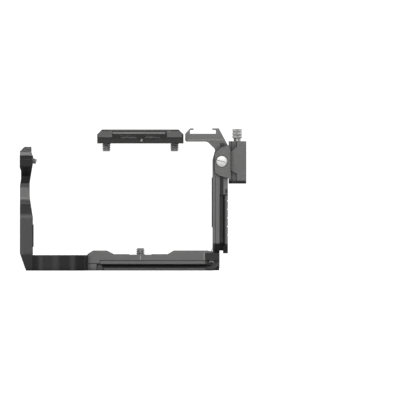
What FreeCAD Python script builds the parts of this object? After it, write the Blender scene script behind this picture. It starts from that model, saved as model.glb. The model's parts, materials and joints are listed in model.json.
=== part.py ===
import FreeCAD, Part
import math
import os
import Sketcher
from FreeCAD import Placement, Rotation, Vector

# The cage stands with its underside on the XY plane. The origin lies under the axis of the camera
# screw, +X points to the rail side (the lens side seen from the front keeps +X at the right),
# +Y to the rear of the camera and +Z up. All lengths are millimetres.

doc = FreeCAD.newDocument("camera_cage")
sheet = doc.addObject("Spreadsheet::Sheet", "Sizes")

# Driving sizes. Names that end in _left, _front or _low are places along X, Y or Z from the origin.
SIZES = {
    "bay_left": -77.7,
    "bay_width": 129.7,
    "arm_thickness": 9.1,
    "arm_front": -34.0,
    "arm_rear": -0.6,
    "arm_waist": 2.3,
    "arm_neck_front": -27.4,
    "arm_head_low": 68.4,
    "arm_height": 89.4,
    "wing_reach": 8.5,
    "wing_nose": 6.1,
    "finger_rear": 19.7,
    "finger_low": 79.0,
    "strap_slot_length": 13.2,
    "strap_slot_width": 3.4,
    "strap_slot_middle": 2.8,
    "strap_slot_height": 85.4,
    "arm_hole_radius": 2.3,
    "arm_hole_height": 50.0,
    "arm_hole_y": -6.1,
    "foot_chamfer_x": 4.4,
    "foot_chamfer_z": 12.6,
    "grip_front": -39.5,
    "grip_hollow": 3.0,
    "base_left": -38.2,
    "base_rear": 15.8,
    "rear_block_depth": 8.5,
    "rear_block_left": 20.0,
    "rear_block_hole": 1.8,
    "seat_height": 11.3,
    "lip_height": 14.6,
    "lip_dip": 3.0,
    "lip_thickness": 2.6,
    "rail_half_width": 19.0,
    "rail_left": -29.0,
    "rail_top": 7.4,
    "rail_foot": 1.7,
    "rail_slope_top": 4.3,
    "rail_band_low": 4.8,
    "rail_depth": 2.6,
    "end_chamfer": 4.8,
    "column_front": -27.1,
    "column_rear": -12.6,
    "column_skin": 5.1,
    "side_rail_neck": 2.5,
    "side_rail_flange": 3.5,
    "side_rail_middle": -17.0,
    "side_rail_half": 10.7,
    "side_rail_bevel": 2.3,
    "side_rail_low": 19.4,
    "side_rail_top": 54.4,
    "side_rail_point": 12.5,
    "side_groove_depth": 0.5,
    "side_groove_width": 0.7,
    "side_groove_first": 25.7,
    "side_groove_step": 6.2,
    "side_ring_radius": 4.7,
    "thread_radius": 3.175,
    "side_hole_low": 31.8,
    "side_hole_step": 9.35,
    "side_hole_depth": 9.0,
    "side_hole_depth_step": 0.4,
    "stop_hole_height": 24.3,
    "stop_screw_radius": 1.7,
    "column_hole_y": -18.8,
    "column_hole_height": 59.8,
    "shoe_left": 32.3,
    "shoe_floor": 98.8,
    "shoe_lip_top": 102.7,
    "shoe_lip_thickness": 1.2,
    "shoe_under": 93.1,
    "shoe_slot_width": 18.6,
    "shoe_mouth_width": 13.5,
    "shoe_wall": 1.6,
    "shoe_cheek": 3.5,
    "shoe_front": -22.2,
    "shoe_depth": 18.8,
    "shoulder_low": 90.4,
    "end_pocket_length": 17.0,
    "end_pocket_width": 5.5,
    "end_pocket_depth": 1.2,
    "end_pocket_middle_y": 7.5,
    "end_pocket_middle_z": 9.2,
    "set_screw_y": 8.45,
    "wrench_length": 46.0,
    "wrench_inset": 6.5,
    "wrench_width": 22.0,
    "wrench_thickness": 1.5,
    "wrench_high": 5.2,
    "wrench_middle_y": 1.4,
    "wrench_gap": 0.2,
    "magnet_radius": 2.5,
    "magnet_height": 2.0,
    "screw_stand": 5.0,
    "screw_head_radius": 7.0,
    "screw_head_height": 3.0,
    "screw_gap": 0.35,
    "recess_high": 5.2,
    "neck_relief": 0.6,
    "running_gap": 0.05,
    "ring_outer": 4.6,
    "ring_height": 0.4,
    "ring_seat": 0.8,
    "tie_hole_x": -16.0,
    "tie_hole_y": 0.0,
    "rear_block_height": 4.0,
    "lock_neck": 5.8,
    "top_head_radius": 4.6,
    "top_head_height": 2.4,
    "slot_width": 1.4,
    "slot_depth": 1.3,
    "pad_thickness": 0.6,
    "lock_screw_angle": 20.0,
    "lock_screw_x": -83.9,
    "lock_screw_y": -20.5,
    "lock_screw_z": 81.7,
    "lock_screw_length": 9.4,
    "lock_screw_radius": 2.0,
    "lock_head_radius": 3.6,
    "lock_head_height": 1.8,
    "top_half_length": 31.1,
    "top_front": -39.2,
    "top_rail_depth": 21.4,
    "top_rail_low": 95.7,
    "top_height": 101.8,
    "top_low": 91.8,
    "top_lower_front": -28.0,
    "top_rear": 1.2,
    "top_chamfer": 3.5,
    "top_bevel_tip": 2.3,
    "top_slit_near": 2.8,
    "top_slit_far": 14.3,
    "top_slit_low": 96.0,
    "top_slit_width": 1.2,
    "top_screw_spacing": 49.2,
    "top_screw_y": -6.1,
    "top_screw_stand": 5.7,
    "clamp_plate_depth": 3.2,
    "clamp_plate_left": 53.7,
    "clamp_left": 63.6,
    "clamp_right": 76.4,
    "clamp_low": 62.8,
    "clamp_high": 94.0,
    "clamp_rear": -15.2,
    "clamp_corner": 2.6,
    "clamp_finger_low": 65.2,
    "clamp_finger_high": 68.4,
    "clamp_finger_end": -0.2,
    "jaw_top": 90.4,
    "jaw_thickness": 2.5,
    "jaw_end": -2.9,
    "jaw_gap": 0.3,
    "jaw_lug_half": 3.6,
    "jaw_lug_height": 6.0,
    "jaw_travel": 8.0,
    "clamp_roof": 2.4,
    "clamp_screw_x": 58.7,
    "clamp_screw_z": 78.8,
    "clamp_screw_head": 4.15,
    "clamp_screw_head_height": 1.9,
    "clamp_screw_sunk": 2.2,
    "clamp_screw_shank": 2.0,
    "clamp_screw_length": 8.0,
    "thumb_x": 69.8,
    "thumb_y": -19.3,
    "thumb_radius": 3.4,
    "thumb_top": 102.3,
    "thumb_low": 94.7,
    "thumb_shank": 1.9,
    "collar_gap": 0.05,
    "pin_x": 0.9,
    "pin_z": 94.2,
    "pin_radius": 1.1,
    "pin_reach": 4.4,
    "pin_length": 6.0,
}
S = {}


class Size:
    """A number that keeps the sheet expression it comes from, so that arithmetic on it stays linked."""

    def __init__(self, value, text):
        self.value = value
        self.text = text

    def __add__(self, other):
        return Size(self.value + number(other), f"({self.text} + {words(other)})")

    def __radd__(self, other):
        return Size(number(other) + self.value, f"({words(other)} + {self.text})")

    def __sub__(self, other):
        return Size(self.value - number(other), f"({self.text} - {words(other)})")

    def __rsub__(self, other):
        return Size(number(other) - self.value, f"({words(other)} - {self.text})")

    def __mul__(self, other):
        return Size(self.value * number(other), f"({self.text} * {words(other)})")

    def __rmul__(self, other):
        return Size(number(other) * self.value, f"({words(other)} * {self.text})")

    def __truediv__(self, other):
        return Size(self.value / number(other), f"({self.text} / {words(other)})")

    def __neg__(self):
        return Size(-self.value, f"(0 - {self.text})")


def number(size):
    return size.value if isinstance(size, Size) else float(size)


def words(size):
    return size.text if isinstance(size, Size) else f"({size:.9g})"


def fill_sheet(table):
    """Write each size as text beside its name and give the cell that name as its alias."""
    sizes = {}
    for row, (alias, value) in enumerate(table.items(), start=1):
        sheet.set(f"A{row}", alias)
        sheet.set(f"B{row}", str(value))
        sheet.setAlias(f"B{row}", alias)
        sizes[alias] = Size(float(value), f"Sizes.{alias}")
    doc.recompute()
    return sizes


def bind(item, path, size):
    """Set a property through an expression on the sheet."""
    if isinstance(size, Size):
        item.setExpression(path, size.text)
    else:
        item.setExpression(path, words(size))


def new_body(label, at=None, turn_axis=None, turn=None):
    """A body with its own label; `at` is its place and `turn` its angle about `turn_axis`."""
    body = doc.addObject("PartDesign::Body", label)
    body.Label = label
    if turn_axis is not None:
        body.Placement = Placement(Vector(0, 0, 0), Rotation(turn_axis, number(turn)))
        bind(body, "Placement.Rotation.Angle", turn)
    for letter, size in zip("xyz", at or ()):
        bind(body, f"Placement.Base.{letter}", size)
    return body


def new_sketch(body, name, plane, level):
    """A sketch on one of the body's own origin planes, moved `level` along the plane's normal."""
    sketch = body.newObject("Sketcher::SketchObject", f"{body.Name}_{name}")
    roles = {feature.Role: feature for feature in body.Origin.OriginFeatures}
    sketch.AttachmentSupport = [(roles[plane + "_Plane"], "")]
    sketch.MapMode = "FlatFace"
    bind(sketch, "AttachmentOffset.Base.z", level)
    return sketch


def fix_point(sketch, geometry, end, across, up):
    """Dimension one point from the sketch origin."""
    first = sketch.addConstraint(Sketcher.Constraint("DistanceX", -1, 1, geometry, end, number(across)))
    bind(sketch, f"Constraints[{first}]", across)
    second = sketch.addConstraint(Sketcher.Constraint("DistanceY", -1, 1, geometry, end, number(up)))
    bind(sketch, f"Constraints[{second}]", up)


def corner_arc(before, corner, after, radius):
    """The tangent arc that rounds a corner, and whether it runs anticlockwise along the outline."""
    back = (before - corner).normalize()
    ahead = (after - corner).normalize()
    half = back.getAngle(ahead) / 2
    start = corner + back * (radius / math.tan(half))
    finish = corner + ahead * (radius / math.tan(half))
    centre = corner + (back + ahead).normalize() * (radius / math.sin(half))
    anticlockwise = (corner - before).cross(after - corner).z > 0
    first, last = (start, finish) if anticlockwise else (finish, start)
    angles = [math.atan2(p.y - centre.y, p.x - centre.x) for p in (first, last)]
    circle = Part.Circle(centre, Vector(0, 0, 1), radius)
    return start, finish, Part.ArcOfCircle(circle, *angles), anticlockwise


def draw_outline(sketch, corners):
    """Draw a closed outline. A corner is (across, up), or (across, up, radius) where it is rounded."""
    points = [Vector(number(c[0]), number(c[1]), 0) for c in corners]
    count = len(corners)
    starts = list(points)
    finishes = list(points)
    arcs = {}
    for i, corner in enumerate(corners):
        if len(corner) == 3:
            entry = corner_arc(points[i - 1], points[i], points[(i + 1) % count], number(corner[2]))
            finishes[i], starts[i] = entry[0], entry[1]
            arcs[i] = entry
    lines = []
    for i in range(count):
        segment = Part.LineSegment(starts[i], finishes[(i + 1) % count])
        lines.append(sketch.addGeometry(segment, False))
    for i, corner in enumerate(corners):
        into, out = lines[i - 1], lines[i]
        if i not in arcs:
            sketch.addConstraint(Sketcher.Constraint("Coincident", into, 2, out, 1))
            fix_point(sketch, out, 1, corner[0], corner[1])
            continue
        arc = sketch.addGeometry(arcs[i][2], False)
        spot = sketch.addGeometry(Part.Point(points[i]), True)
        near, far = (1, 2) if arcs[i][3] else (2, 1)
        fix_point(sketch, spot, 1, corner[0], corner[1])
        sketch.addConstraint(Sketcher.Constraint("PointOnObject", spot, 1, into))
        sketch.addConstraint(Sketcher.Constraint("PointOnObject", spot, 1, out))
        sketch.addConstraint(Sketcher.Constraint("Tangent", into, 2, arc, near))
        sketch.addConstraint(Sketcher.Constraint("Tangent", arc, far, out, 1))
        bend = sketch.addConstraint(Sketcher.Constraint("Radius", arc, number(corner[2])))
        bind(sketch, f"Constraints[{bend}]", corner[2])


def draw_circles(sketch, circles):
    """Draw circles, each (across, up, radius)."""
    for across, up, radius in circles:
        centre = Vector(number(across), number(up), 0)
        ring = sketch.addGeometry(Part.Circle(centre, Vector(0, 0, 1), number(radius)), False)
        fix_point(sketch, ring, 3, across, up)
        size = sketch.addConstraint(Sketcher.Constraint("Radius", ring, number(radius)))
        bind(sketch, f"Constraints[{size}]", radius)


# The XZ plane's normal is -Y, so a sketch for a slab in Y starts at the slab's larger Y.
def base_level(plane, low, high):
    return -high if plane == "XZ" else low


def extrude(kind, body, name, plane, low, high, sketch):
    feature = body.newObject(f"PartDesign::{kind}", f"{body.Name}_{name}")
    feature.Profile = sketch
    bind(feature, "Length", high - low)
    feature.Reversed = kind == "Pocket"
    sketch.Visibility = False
    return feature


def volume_of(body):
    doc.recompute()
    return body.Shape.Volume if body.Tip else 0.0


def add_slab(body, name, plane, low, high, corners):
    """Add the outline's prism between `low` and `high` along the axis square to the plane."""
    sketch = new_sketch(body, name + "_outline", plane, base_level(plane, low, high))
    draw_outline(sketch, corners)
    return extrude("Pad", body, name, plane, low, high, sketch)


def cut_slab(body, name, plane, low, high, corners):
    """Cut the outline's prism between `low` and `high`, and check that it removes material."""
    before = volume_of(body)
    sketch = new_sketch(body, name + "_outline", plane, base_level(plane, low, high))
    draw_outline(sketch, corners)
    pocket = extrude("Pocket", body, name, plane, low, high, sketch)
    if volume_of(body) >= before:
        raise RuntimeError(f"{body.Name}: {name} cuts nothing")
    return pocket


def add_rods(body, name, plane, low, high, circles):
    """Add round prisms between `low` and `high`; each circle is (across, up, radius)."""
    sketch = new_sketch(body, name + "_circles", plane, base_level(plane, low, high))
    draw_circles(sketch, circles)
    return extrude("Pad", body, name, plane, low, high, sketch)


def cut_rods(body, name, plane, low, high, circles):
    """Drill round holes between `low` and `high`, and check that they remove material."""
    before = volume_of(body)
    sketch = new_sketch(body, name + "_circles", plane, base_level(plane, low, high))
    draw_circles(sketch, circles)
    pocket = extrude("Pocket", body, name, plane, low, high, sketch)
    if volume_of(body) >= before:
        raise RuntimeError(f"{body.Name}: {name} cuts nothing")
    return pocket


def turn_about_z(body, name, corners):
    """Revolve an outline of (radius, height) corners about the body's own Z axis."""
    sketch = new_sketch(body, name + "_outline", "XZ", Size(0.0, "0"))
    draw_outline(sketch, corners)
    feature = body.newObject("PartDesign::Revolution", f"{body.Name}_{name}")
    feature.Profile = sketch
    feature.ReferenceAxis = (sketch, ["V_Axis"])
    feature.Angle = 360
    sketch.Visibility = False
    return feature




# Machined frame

def build_frame():
    """Grip arm, base, column, rail and shoe arm, cut from one block of aluminium."""
    body = new_body("cage_frame")
    left = S["bay_left"]
    right = left + S["bay_width"]
    arm_left = left - S["arm_thickness"]
    seat = S["seat_height"]
    skin = right + S["column_skin"]
    neck = skin + S["side_rail_neck"]
    outer = neck + S["side_rail_flange"]
    half = S["rail_half_width"]

    # Base plate in plan, with the bulged grip part and the mitred rail corner
    add_slab(body, "base", "XY", Size(0.0, "0"), seat, [
        (arm_left, S["arm_rear"]),
        (arm_left, S["arm_front"]),
        (left + 5.2, S["grip_front"] + 0.6, 9),
        (left + 17, S["grip_front"] + S["grip_hollow"], 14),
        (left + 29.5, S["grip_front"], 9),
        (S["base_left"] - 1.4, S["grip_front"] + 3.6, 3),
        (S["base_left"], -half),
        (right - 5.4, -half),
        (skin, S["column_front"] + 12.4),
        (skin, S["base_rear"]),
        (skin - 3.4, half),
        (left + 12, half, 8),
        (left + 8, S["arm_rear"], 4),
    ])
    # Front lip with its two raised stops for the camera
    add_slab(body, "lip", "XZ", -half, S["lip_thickness"] - half, [
        (S["base_left"], S["rail_top"]),
        (skin, S["rail_top"]),
        (skin, S["lip_height"] - 2),
        (right - 3.6, S["lip_height"]),
        (right - 27.9, S["lip_height"]),
        (right - 33.1, S["lip_height"] - S["lip_dip"]),
        (S["base_left"] + 19.9, S["lip_height"] - S["lip_dip"]),
        (S["base_left"] + 14.0, S["lip_height"], 2),
        (S["base_left"] + 4.1, S["lip_height"], 1),
        (S["base_left"], S["lip_height"] - 2.6, 1),
    ])
    # Rear block under the screen side
    add_slab(body, "rear_block", "XY", Size(0.0, "0"), seat, [
        (S["rear_block_left"], half - 2),
        (skin - 2.2, half - 2),
        (skin - 2.2, S["base_rear"] + S["rear_block_depth"]),
        (S["rear_block_left"] + 5, S["base_rear"] + S["rear_block_depth"], 4),
    ])
    # Grip arm from the side: foot, waist, wing ahead and finger behind
    top = S["arm_height"]
    head = S["arm_head_low"]
    add_slab(body, "arm", "YZ", arm_left, left, [
        (S["arm_front"], Size(0.0, "0")),
        (S["arm_rear"], Size(0.0, "0")),
        (S["arm_rear"], S["finger_low"], 5),
        (S["finger_rear"], S["finger_low"], 1),
        (S["finger_rear"], top - 3.1, 1.5),
        (S["finger_rear"] - 4.7, top - 1, 2),
        (S["finger_rear"] - 12.1, top),
        (S["arm_neck_front"] + 9.0, top),
        (S["arm_neck_front"] - 2.5, top - 3.8, 2),
        (S["arm_neck_front"] - 12.5, top - 6.4, 2),
        (S["arm_neck_front"] - S["wing_reach"] - S["wing_nose"] - 0.5, top - 8.6, 1),
        (S["arm_neck_front"] - S["wing_reach"] - S["wing_nose"], head + 6.4, 1.5),
        (S["arm_neck_front"] - 2.7, head, 2),
        (S["arm_neck_front"], head - 8, 4),
        (S["arm_neck_front"], head - 17, 6),
        (S["arm_front"], head - 28, 10),
    ])
    # Inner face of the arm: full width low down, drawn in at the waist
    cut_slab(body, "arm_inside", "XZ", S["grip_front"] - 6, S["finger_rear"] + 4, [
        (left + 1, seat + 27),
        (left, seat + 27),
        (left - S["arm_waist"], seat + 42, 20),
        (left - S["arm_waist"], seat + 52, 12),
        (left, seat + 66, 2),
        (left, top - 6.8),
        (left - 1.2, top - 4, 2),
        (left - 1.2, top + 1),
        (left + 1, top + 1),
    ])
    # Outer face of the arm: chamfered foot, shallow waist and rounded head
    cut_slab(body, "arm_foot", "XZ", S["grip_front"] - 6, S["base_rear"] + 1, [
        (arm_left - 1, S["foot_chamfer_z"] + 1),
        (arm_left - 1, Size(-1.0, "(0 - 1)")),
        (arm_left + S["foot_chamfer_x"] + 0.35, Size(-1.0, "(0 - 1)")),
        (arm_left, S["foot_chamfer_z"]),
    ])
    cut_slab(body, "arm_shoulder", "XZ", S["grip_front"] - 6, S["finger_rear"] + 4, [
        (arm_left - 1, top - 4.2),
        (arm_left + 4.2, top + 1),
        (arm_left - 1, top + 1),
    ])
    cut_slab(body, "arm_outer_waist", "XZ", S["grip_front"] - 6, S["finger_rear"] + 4, [
        (arm_left - 1, seat + 48),
        (arm_left, seat + 50, 4),
        (arm_left + 0.8, seat + 55, 4),
        (arm_left + 0.8, seat + 61, 2),
        (arm_left, seat + 63, 1),
        (arm_left - 1, seat + 64),
    ])
    # Strap slot through the finger, and the cord hole in the arm
    slot = S["strap_slot_length"] / 2
    rise = S["strap_slot_width"] / 2
    cut_slab(body, "strap_slot", "YZ", arm_left - 1, left + 1, [
        (S["strap_slot_middle"] - slot, S["strap_slot_height"] - rise, 1.5),
        (S["strap_slot_middle"] + slot, S["strap_slot_height"] - rise, 1.5),
        (S["strap_slot_middle"] + slot, S["strap_slot_height"] + rise, 1.5),
        (S["strap_slot_middle"] - slot, S["strap_slot_height"] + rise, 1.5),
    ])
    cut_rods(body, "arm_hole", "YZ", arm_left - 1, left + 1,
             [(S["arm_hole_y"], S["arm_hole_height"], S["arm_hole_radius"])])

    # Column with its flared foot
    low = S["side_rail_low"]
    point = S["side_rail_point"]
    add_slab(body, "column", "YZ", right, skin, [
        (S["column_front"], S["side_rail_top"] + 12),
        (S["column_front"], low, 1),
        (S["column_front"] + 8.7, point),
        (-half, seat - 2),
        (S["arm_rear"], seat - 2),
        (S["arm_rear"] - 0.5, seat + 1.6),
        (S["column_rear"] + 5.2, low + 0.5, 2),
        (S["column_rear"], low + 7, 3),
        (S["column_rear"], S["side_rail_top"] + 12),
    ])
    add_slab(body, "corner_web", "XZ", -half, S["column_rear"] + 3, [
        (right + 1, seat + 9, 2),
        (right + 1, seat - 1),
        (right - 6, seat - 1),
        (right - 5.2, seat + 0.6, 2),
        (right - 1.8, seat + 1.8, 2),
        (right, seat + 5, 3),
    ])
    middle = S["side_rail_middle"]
    wide = S["side_rail_half"]
    slim = wide - S["side_rail_flange"]
    add_slab(body, "side_neck", "YZ", skin, neck, [
        (middle - slim, S["side_rail_top"] + 2),
        (middle - slim, low + 1),
        (middle - 2, point + 2),
        (middle + 2, point + 2),
        (middle + slim - 1, low + 1),
        (middle + slim - 1, S["side_rail_top"] + 2),
    ])
    add_slab(body, "side_rail", "YZ", neck, outer, [
        (middle - wide, S["side_rail_top"]),
        (middle - wide, low),
        (middle - 2.5, point, 1),
        (middle + 2.5, point, 1),
        (middle + wide, low),
        (middle + wide, S["side_rail_top"]),
    ])
    # Bevelled flanks of the side rail
    bevel = S["side_rail_bevel"]
    for side, sign in (("front", -1), ("rear", 1)):
        tip = middle + wide * sign
        cut_slab(body, f"rail_bevel_{side}", "XY", point - 1, S["side_rail_top"] + 1, [
            (outer + 1, tip + sign * 1.0),
            (outer + 1, tip - bevel * sign),
            (outer, tip - bevel * sign),
            (outer - S["side_rail_flange"] / 2, tip),
            (outer - S["side_rail_flange"] / 2, tip + sign * 1.0),
        ])
        cut_slab(body, f"rail_undercut_{side}", "XY", point - 1, S["side_rail_top"] + 1, [
            (neck - 0.5, tip + sign * 1.0),
            (neck - 0.5, tip - bevel * sign),
            (neck, tip - bevel * sign),
            (outer - S["side_rail_flange"] / 2, tip),
            (outer - S["side_rail_flange"] / 2, tip + sign * 1.0),
        ])
    return body


def build_upper_column(body):
    """Upper column, the sloping arm and the cold shoe."""
    right = S["bay_left"] + S["bay_width"]
    skin = right + S["column_skin"]
    outer = skin + S["side_rail_neck"] + S["side_rail_flange"]
    top = S["side_rail_top"]
    shoe_end = S["shoe_left"] + S["shoe_cheek"] + S["shoe_slot_width"] + S["shoe_wall"]
    floor = S["shoe_floor"]
    inset = (S["shoe_slot_width"] - S["shoe_mouth_width"]) / 2
    lip = S["shoe_lip_top"] - S["shoe_lip_thickness"]
    under = S["shoe_under"]
    wall = S["shoe_wall"]
    profile = [
        (S["shoe_left"], floor),
        (S["shoe_left"] + S["shoe_cheek"], S["shoe_lip_top"]),
        (S["shoe_left"] + S["shoe_cheek"] + inset, S["shoe_lip_top"]),
        (S["shoe_left"] + S["shoe_cheek"] + inset, lip),
        (S["shoe_left"] + S["shoe_cheek"], lip),
        (S["shoe_left"] + S["shoe_cheek"], floor),
        (shoe_end - wall, floor),
        (shoe_end - wall, lip),
        (shoe_end - wall - inset, lip),
        (shoe_end - wall - inset, S["shoe_lip_top"]),
    ]
    add_slab(body, "shoulder", "XZ", S["column_front"], S["column_rear"], profile + [
        (shoe_end + 0.6, S["shoe_lip_top"]),
        (outer, S["shoulder_low"]),
        (outer, top),
        (right, top),
        (right, S["clamp_screw_z"] + 1.2, 3),
        (right + 2, under - 5.6, 2),
        (right - 3.7, under, 4),
        (S["shoe_left"] + 0.9, under),
        (S["shoe_left"], under + 0.9),
    ])
    back = S["shoe_front"] + S["shoe_depth"]
    add_slab(body, "shoe", "XZ", S["column_rear"] - 1, back, profile + [
        (shoe_end, S["shoe_lip_top"]),
        (shoe_end, under + 3.4),
        (S["shoe_left"] + 0.9, under + 3.4),
        (S["shoe_left"], under + 4.0),
    ])
    # The shoulder's front leans back up to the shoe
    cut_slab(body, "shoulder_front", "YZ", S["shoe_left"] - 1, outer + 1, [
        (S["column_front"] - 1, under + 1.3),
        (S["column_front"], under + 1.3),
        (S["column_front"] + 2.3, floor + 0.4),
        (S["column_front"] + 4.6, S["shoe_lip_top"]),
        (S["column_front"] + 4.6, S["shoe_lip_top"] + 1),
        (S["column_front"] - 1, S["shoe_lip_top"] + 1),
    ])
    # Groove that runs down the front of the column in line with the rail's neck
    cut_slab(body, "column_groove", "XZ", S["column_front"] - 1, S["column_front"] + 1.6, [
        (skin + 0.2, top - 1),
        (skin + 2.6, top - 1),
        (skin + 2.6, S["clamp_low"] + 6),
        (skin + 0.2, S["clamp_low"] + 6),
    ])
    # Threaded holes of the rail and the column
    low = S["side_hole_low"]
    step = S["side_hole_step"]
    wide = S["thread_radius"]
    middle = S["side_rail_middle"]
    floor = outer - S["side_hole_depth"]
    lift = S["side_hole_depth_step"]
    for index, name in enumerate(("low", "middle", "high")):
        cut_rods(body, f"side_hole_{name}", "YZ", floor + lift * index, outer + 1,
                 [(middle, low + step * index, wide)])
    cut_rods(body, "column_hole", "YZ", floor - lift, outer + 1,
             [(S["column_hole_y"], S["column_hole_height"], wide)])
    cut_rods(body, "stop_hole", "YZ", outer - 4, outer + 1,
             [(middle, S["stop_hole_height"], S["stop_screw_radius"])])

    # Cross grooves of the rail, and the ring round its lowest threaded hole
    reach = S["side_rail_half"] + 1
    deep = outer - S["side_groove_depth"]
    for index in range(5):
        level = S["side_groove_first"] + S["side_groove_step"] * index
        cut_slab(body, f"cross_groove_{index + 1}", "XZ", middle - reach, middle + reach, [
            (deep, level - S["side_groove_width"] / 2),
            (outer + 1, level - S["side_groove_width"] / 2),
            (outer + 1, level + S["side_groove_width"] / 2),
            (deep, level + S["side_groove_width"] / 2),
        ])
    cut_rods(body, "ring_groove", "YZ", deep, outer + 1,
             [(middle, low, S["side_ring_radius"]), (middle, low, S["side_ring_radius"] - 0.5)])


def build_base_cuts(body):
    """Dovetail grooves, screw holes, the wrench slot and the pocket in the base."""
    right = S["bay_left"] + S["bay_width"]
    end = right + S["column_skin"]
    half = S["rail_half_width"]
    deep = S["rail_depth"]
    zero = Size(0.0, "0")
    for side, sign in (("front", -1), ("rear", 1)):
        stop = end + 1 if side == "front" else S["rear_block_left"] - 2
        edge = half * sign
        cut_slab(body, f"dovetail_{side}", "YZ", S["rail_left"], stop, [
            (edge + sign * 1, S["rail_foot"]),
            (edge, S["rail_foot"]),
            (edge - deep * sign, S["rail_slope_top"]),
            (edge - deep * sign, S["rail_band_low"]),
            (edge + sign * 1, S["rail_band_low"]),
        ])
    cut_slab(body, "end_chamfer", "XZ", -half - 1, S["base_rear"], [
        (end - S["end_chamfer"], Size(-0.5, "(0 - 0.5)")),
        (end - S["end_chamfer"], zero),
        (end, S["end_chamfer"]),
        (end + 1, S["end_chamfer"]),
        (end + 1, Size(-0.5, "(0 - 0.5)")),
    ])
    cut_slab(body, "rail_gap", "XZ", -half - 1, -half + 3, [
        (S["rail_left"] - 2.6, Size(-0.5, "(0 - 0.5)")),
        (S["rail_left"] - 2.6, S["rail_band_low"]),
        (S["rail_left"] + 0.6, S["rail_band_low"]),
        (S["rail_left"] + 3.6, Size(-0.5, "(0 - 0.5)")),
    ])
    # Slot for the wrench, open at the rail end
    half_width = S["wrench_width"] / 2 + S["wrench_gap"]
    cut_slab(body, "wrench_slot", "YZ", end - S["wrench_length"], end + 1, [
        (S["wrench_middle_y"] - half_width, Size(-1.0, "(0 - 1)")),
        (S["wrench_middle_y"] + half_width, Size(-1.0, "(0 - 1)")),
        (S["wrench_middle_y"] + half_width, S["wrench_high"]),
        (S["wrench_middle_y"] - half_width, S["wrench_high"]),
    ])
    return body


# Screws: each stands on its own Z axis, threaded end up, and its body is then placed

ZERO = Size(0.0, "0")


def build_screw(label, radius, neck, root, shank, head_radius, head_height, **place):
    """A captive screw: slotted head below z = 0, a slim neck up to `root`, then the thread."""
    body = new_body(label, **place)
    turn_about_z(body, "blank", [
        (ZERO, -head_height),
        (head_radius - 0.4, -head_height),
        (head_radius, 0.4 - head_height),
        (head_radius, ZERO),
        (neck, ZERO),
        (neck, root),
        (radius, root + 0.3),
        (radius, shank - 0.6),
        (radius - 0.6, shank),
        (ZERO, shank),
    ])
    half = S["slot_width"] / 2
    cut_slab(body, "slot", "XY", -head_height - 1, S["slot_depth"] - head_height, [
        (-head_radius - 1, -half),
        (head_radius + 1, -half),
        (head_radius + 1, half),
        (-head_radius - 1, half),
    ])
    return body


def build_ring(label, inner, outer, height, **place):
    """A flat retaining ring about its own Z axis."""
    body = new_body(label, **place)
    turn_about_z(body, "ring", [(inner, ZERO), (outer, ZERO), (outer, height), (inner, height)])
    return body


def build_camera_screw():
    """Captive camera screw in its counterbore, and the ring in the seat that keeps it there."""
    seat = S["seat_height"]
    floor = S["recess_high"] - S["screw_gap"]
    radius = S["thread_radius"]
    neck = radius - S["neck_relief"]
    build_screw("camera_screw", radius, neck, seat - floor - 0.3, seat - floor + S["screw_stand"],
                S["screw_head_radius"], S["screw_head_height"], at=(ZERO, ZERO, floor))
    build_ring("camera_screw_ring", neck + S["running_gap"], S["ring_outer"], S["ring_height"],
               at=(ZERO, ZERO, seat - S["ring_seat"]))


def cut_frame_holes(body):
    """Holes of the frame for the camera screw, the lock screw, the magnets and the tie-down threads."""
    seat = S["seat_height"]
    radius = S["thread_radius"]
    low = Size(-1.0, "(0 - 1)")
    cut_rods(body, "screw_hole", "XY", low, seat + 1, [(ZERO, ZERO, radius + 0.15)])
    cut_rods(body, "screw_recess", "XY", low, S["recess_high"],
             [(ZERO, ZERO, S["screw_head_radius"] + S["screw_gap"])])
    cut_rods(body, "ring_recess", "XY", seat - S["ring_seat"], seat + 1, [(ZERO, ZERO, S["ring_outer"])])
    cut_rods(body, "tie_down_holes", "XY", low, seat + 1,
             [(S["tie_hole_x"], S["tie_hole_y"], radius), (S["tie_hole_x"] - 16, S["tie_hole_y"], radius)])
    end = S["bay_left"] + S["bay_width"] + S["column_skin"]
    cut_rods(body, "magnet_pits", "XY", S["wrench_high"] - 0.5, S["wrench_high"] + S["magnet_height"],
             [(end - 12, S["wrench_middle_y"], S["magnet_radius"]),
              (end - S["wrench_length"] + 10, S["wrench_middle_y"], S["magnet_radius"])])
    flat = S["end_pocket_length"] / 2
    tall = S["end_pocket_width"] / 2
    y = S["end_pocket_middle_y"]
    z = S["end_pocket_middle_z"]
    cut_slab(body, "end_pocket", "YZ", end - S["end_pocket_depth"], end + 2, [
        (y - flat, z - tall, 1.2),
        (y + flat, z - tall),
        (y + flat, z + tall),
        (y - flat, z + tall, 1.2),
    ])
    cut_rods(body, "set_screw_hole", "YZ", end - 7, end + 1,
             [(S["set_screw_y"], z, S["stop_screw_radius"])])
    cut_rods(body, "rear_block_bore", "YZ", end - 12, end + 1,
             [(S["base_rear"] + 4.7, S["rear_block_height"], S["rear_block_hole"])])


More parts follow.
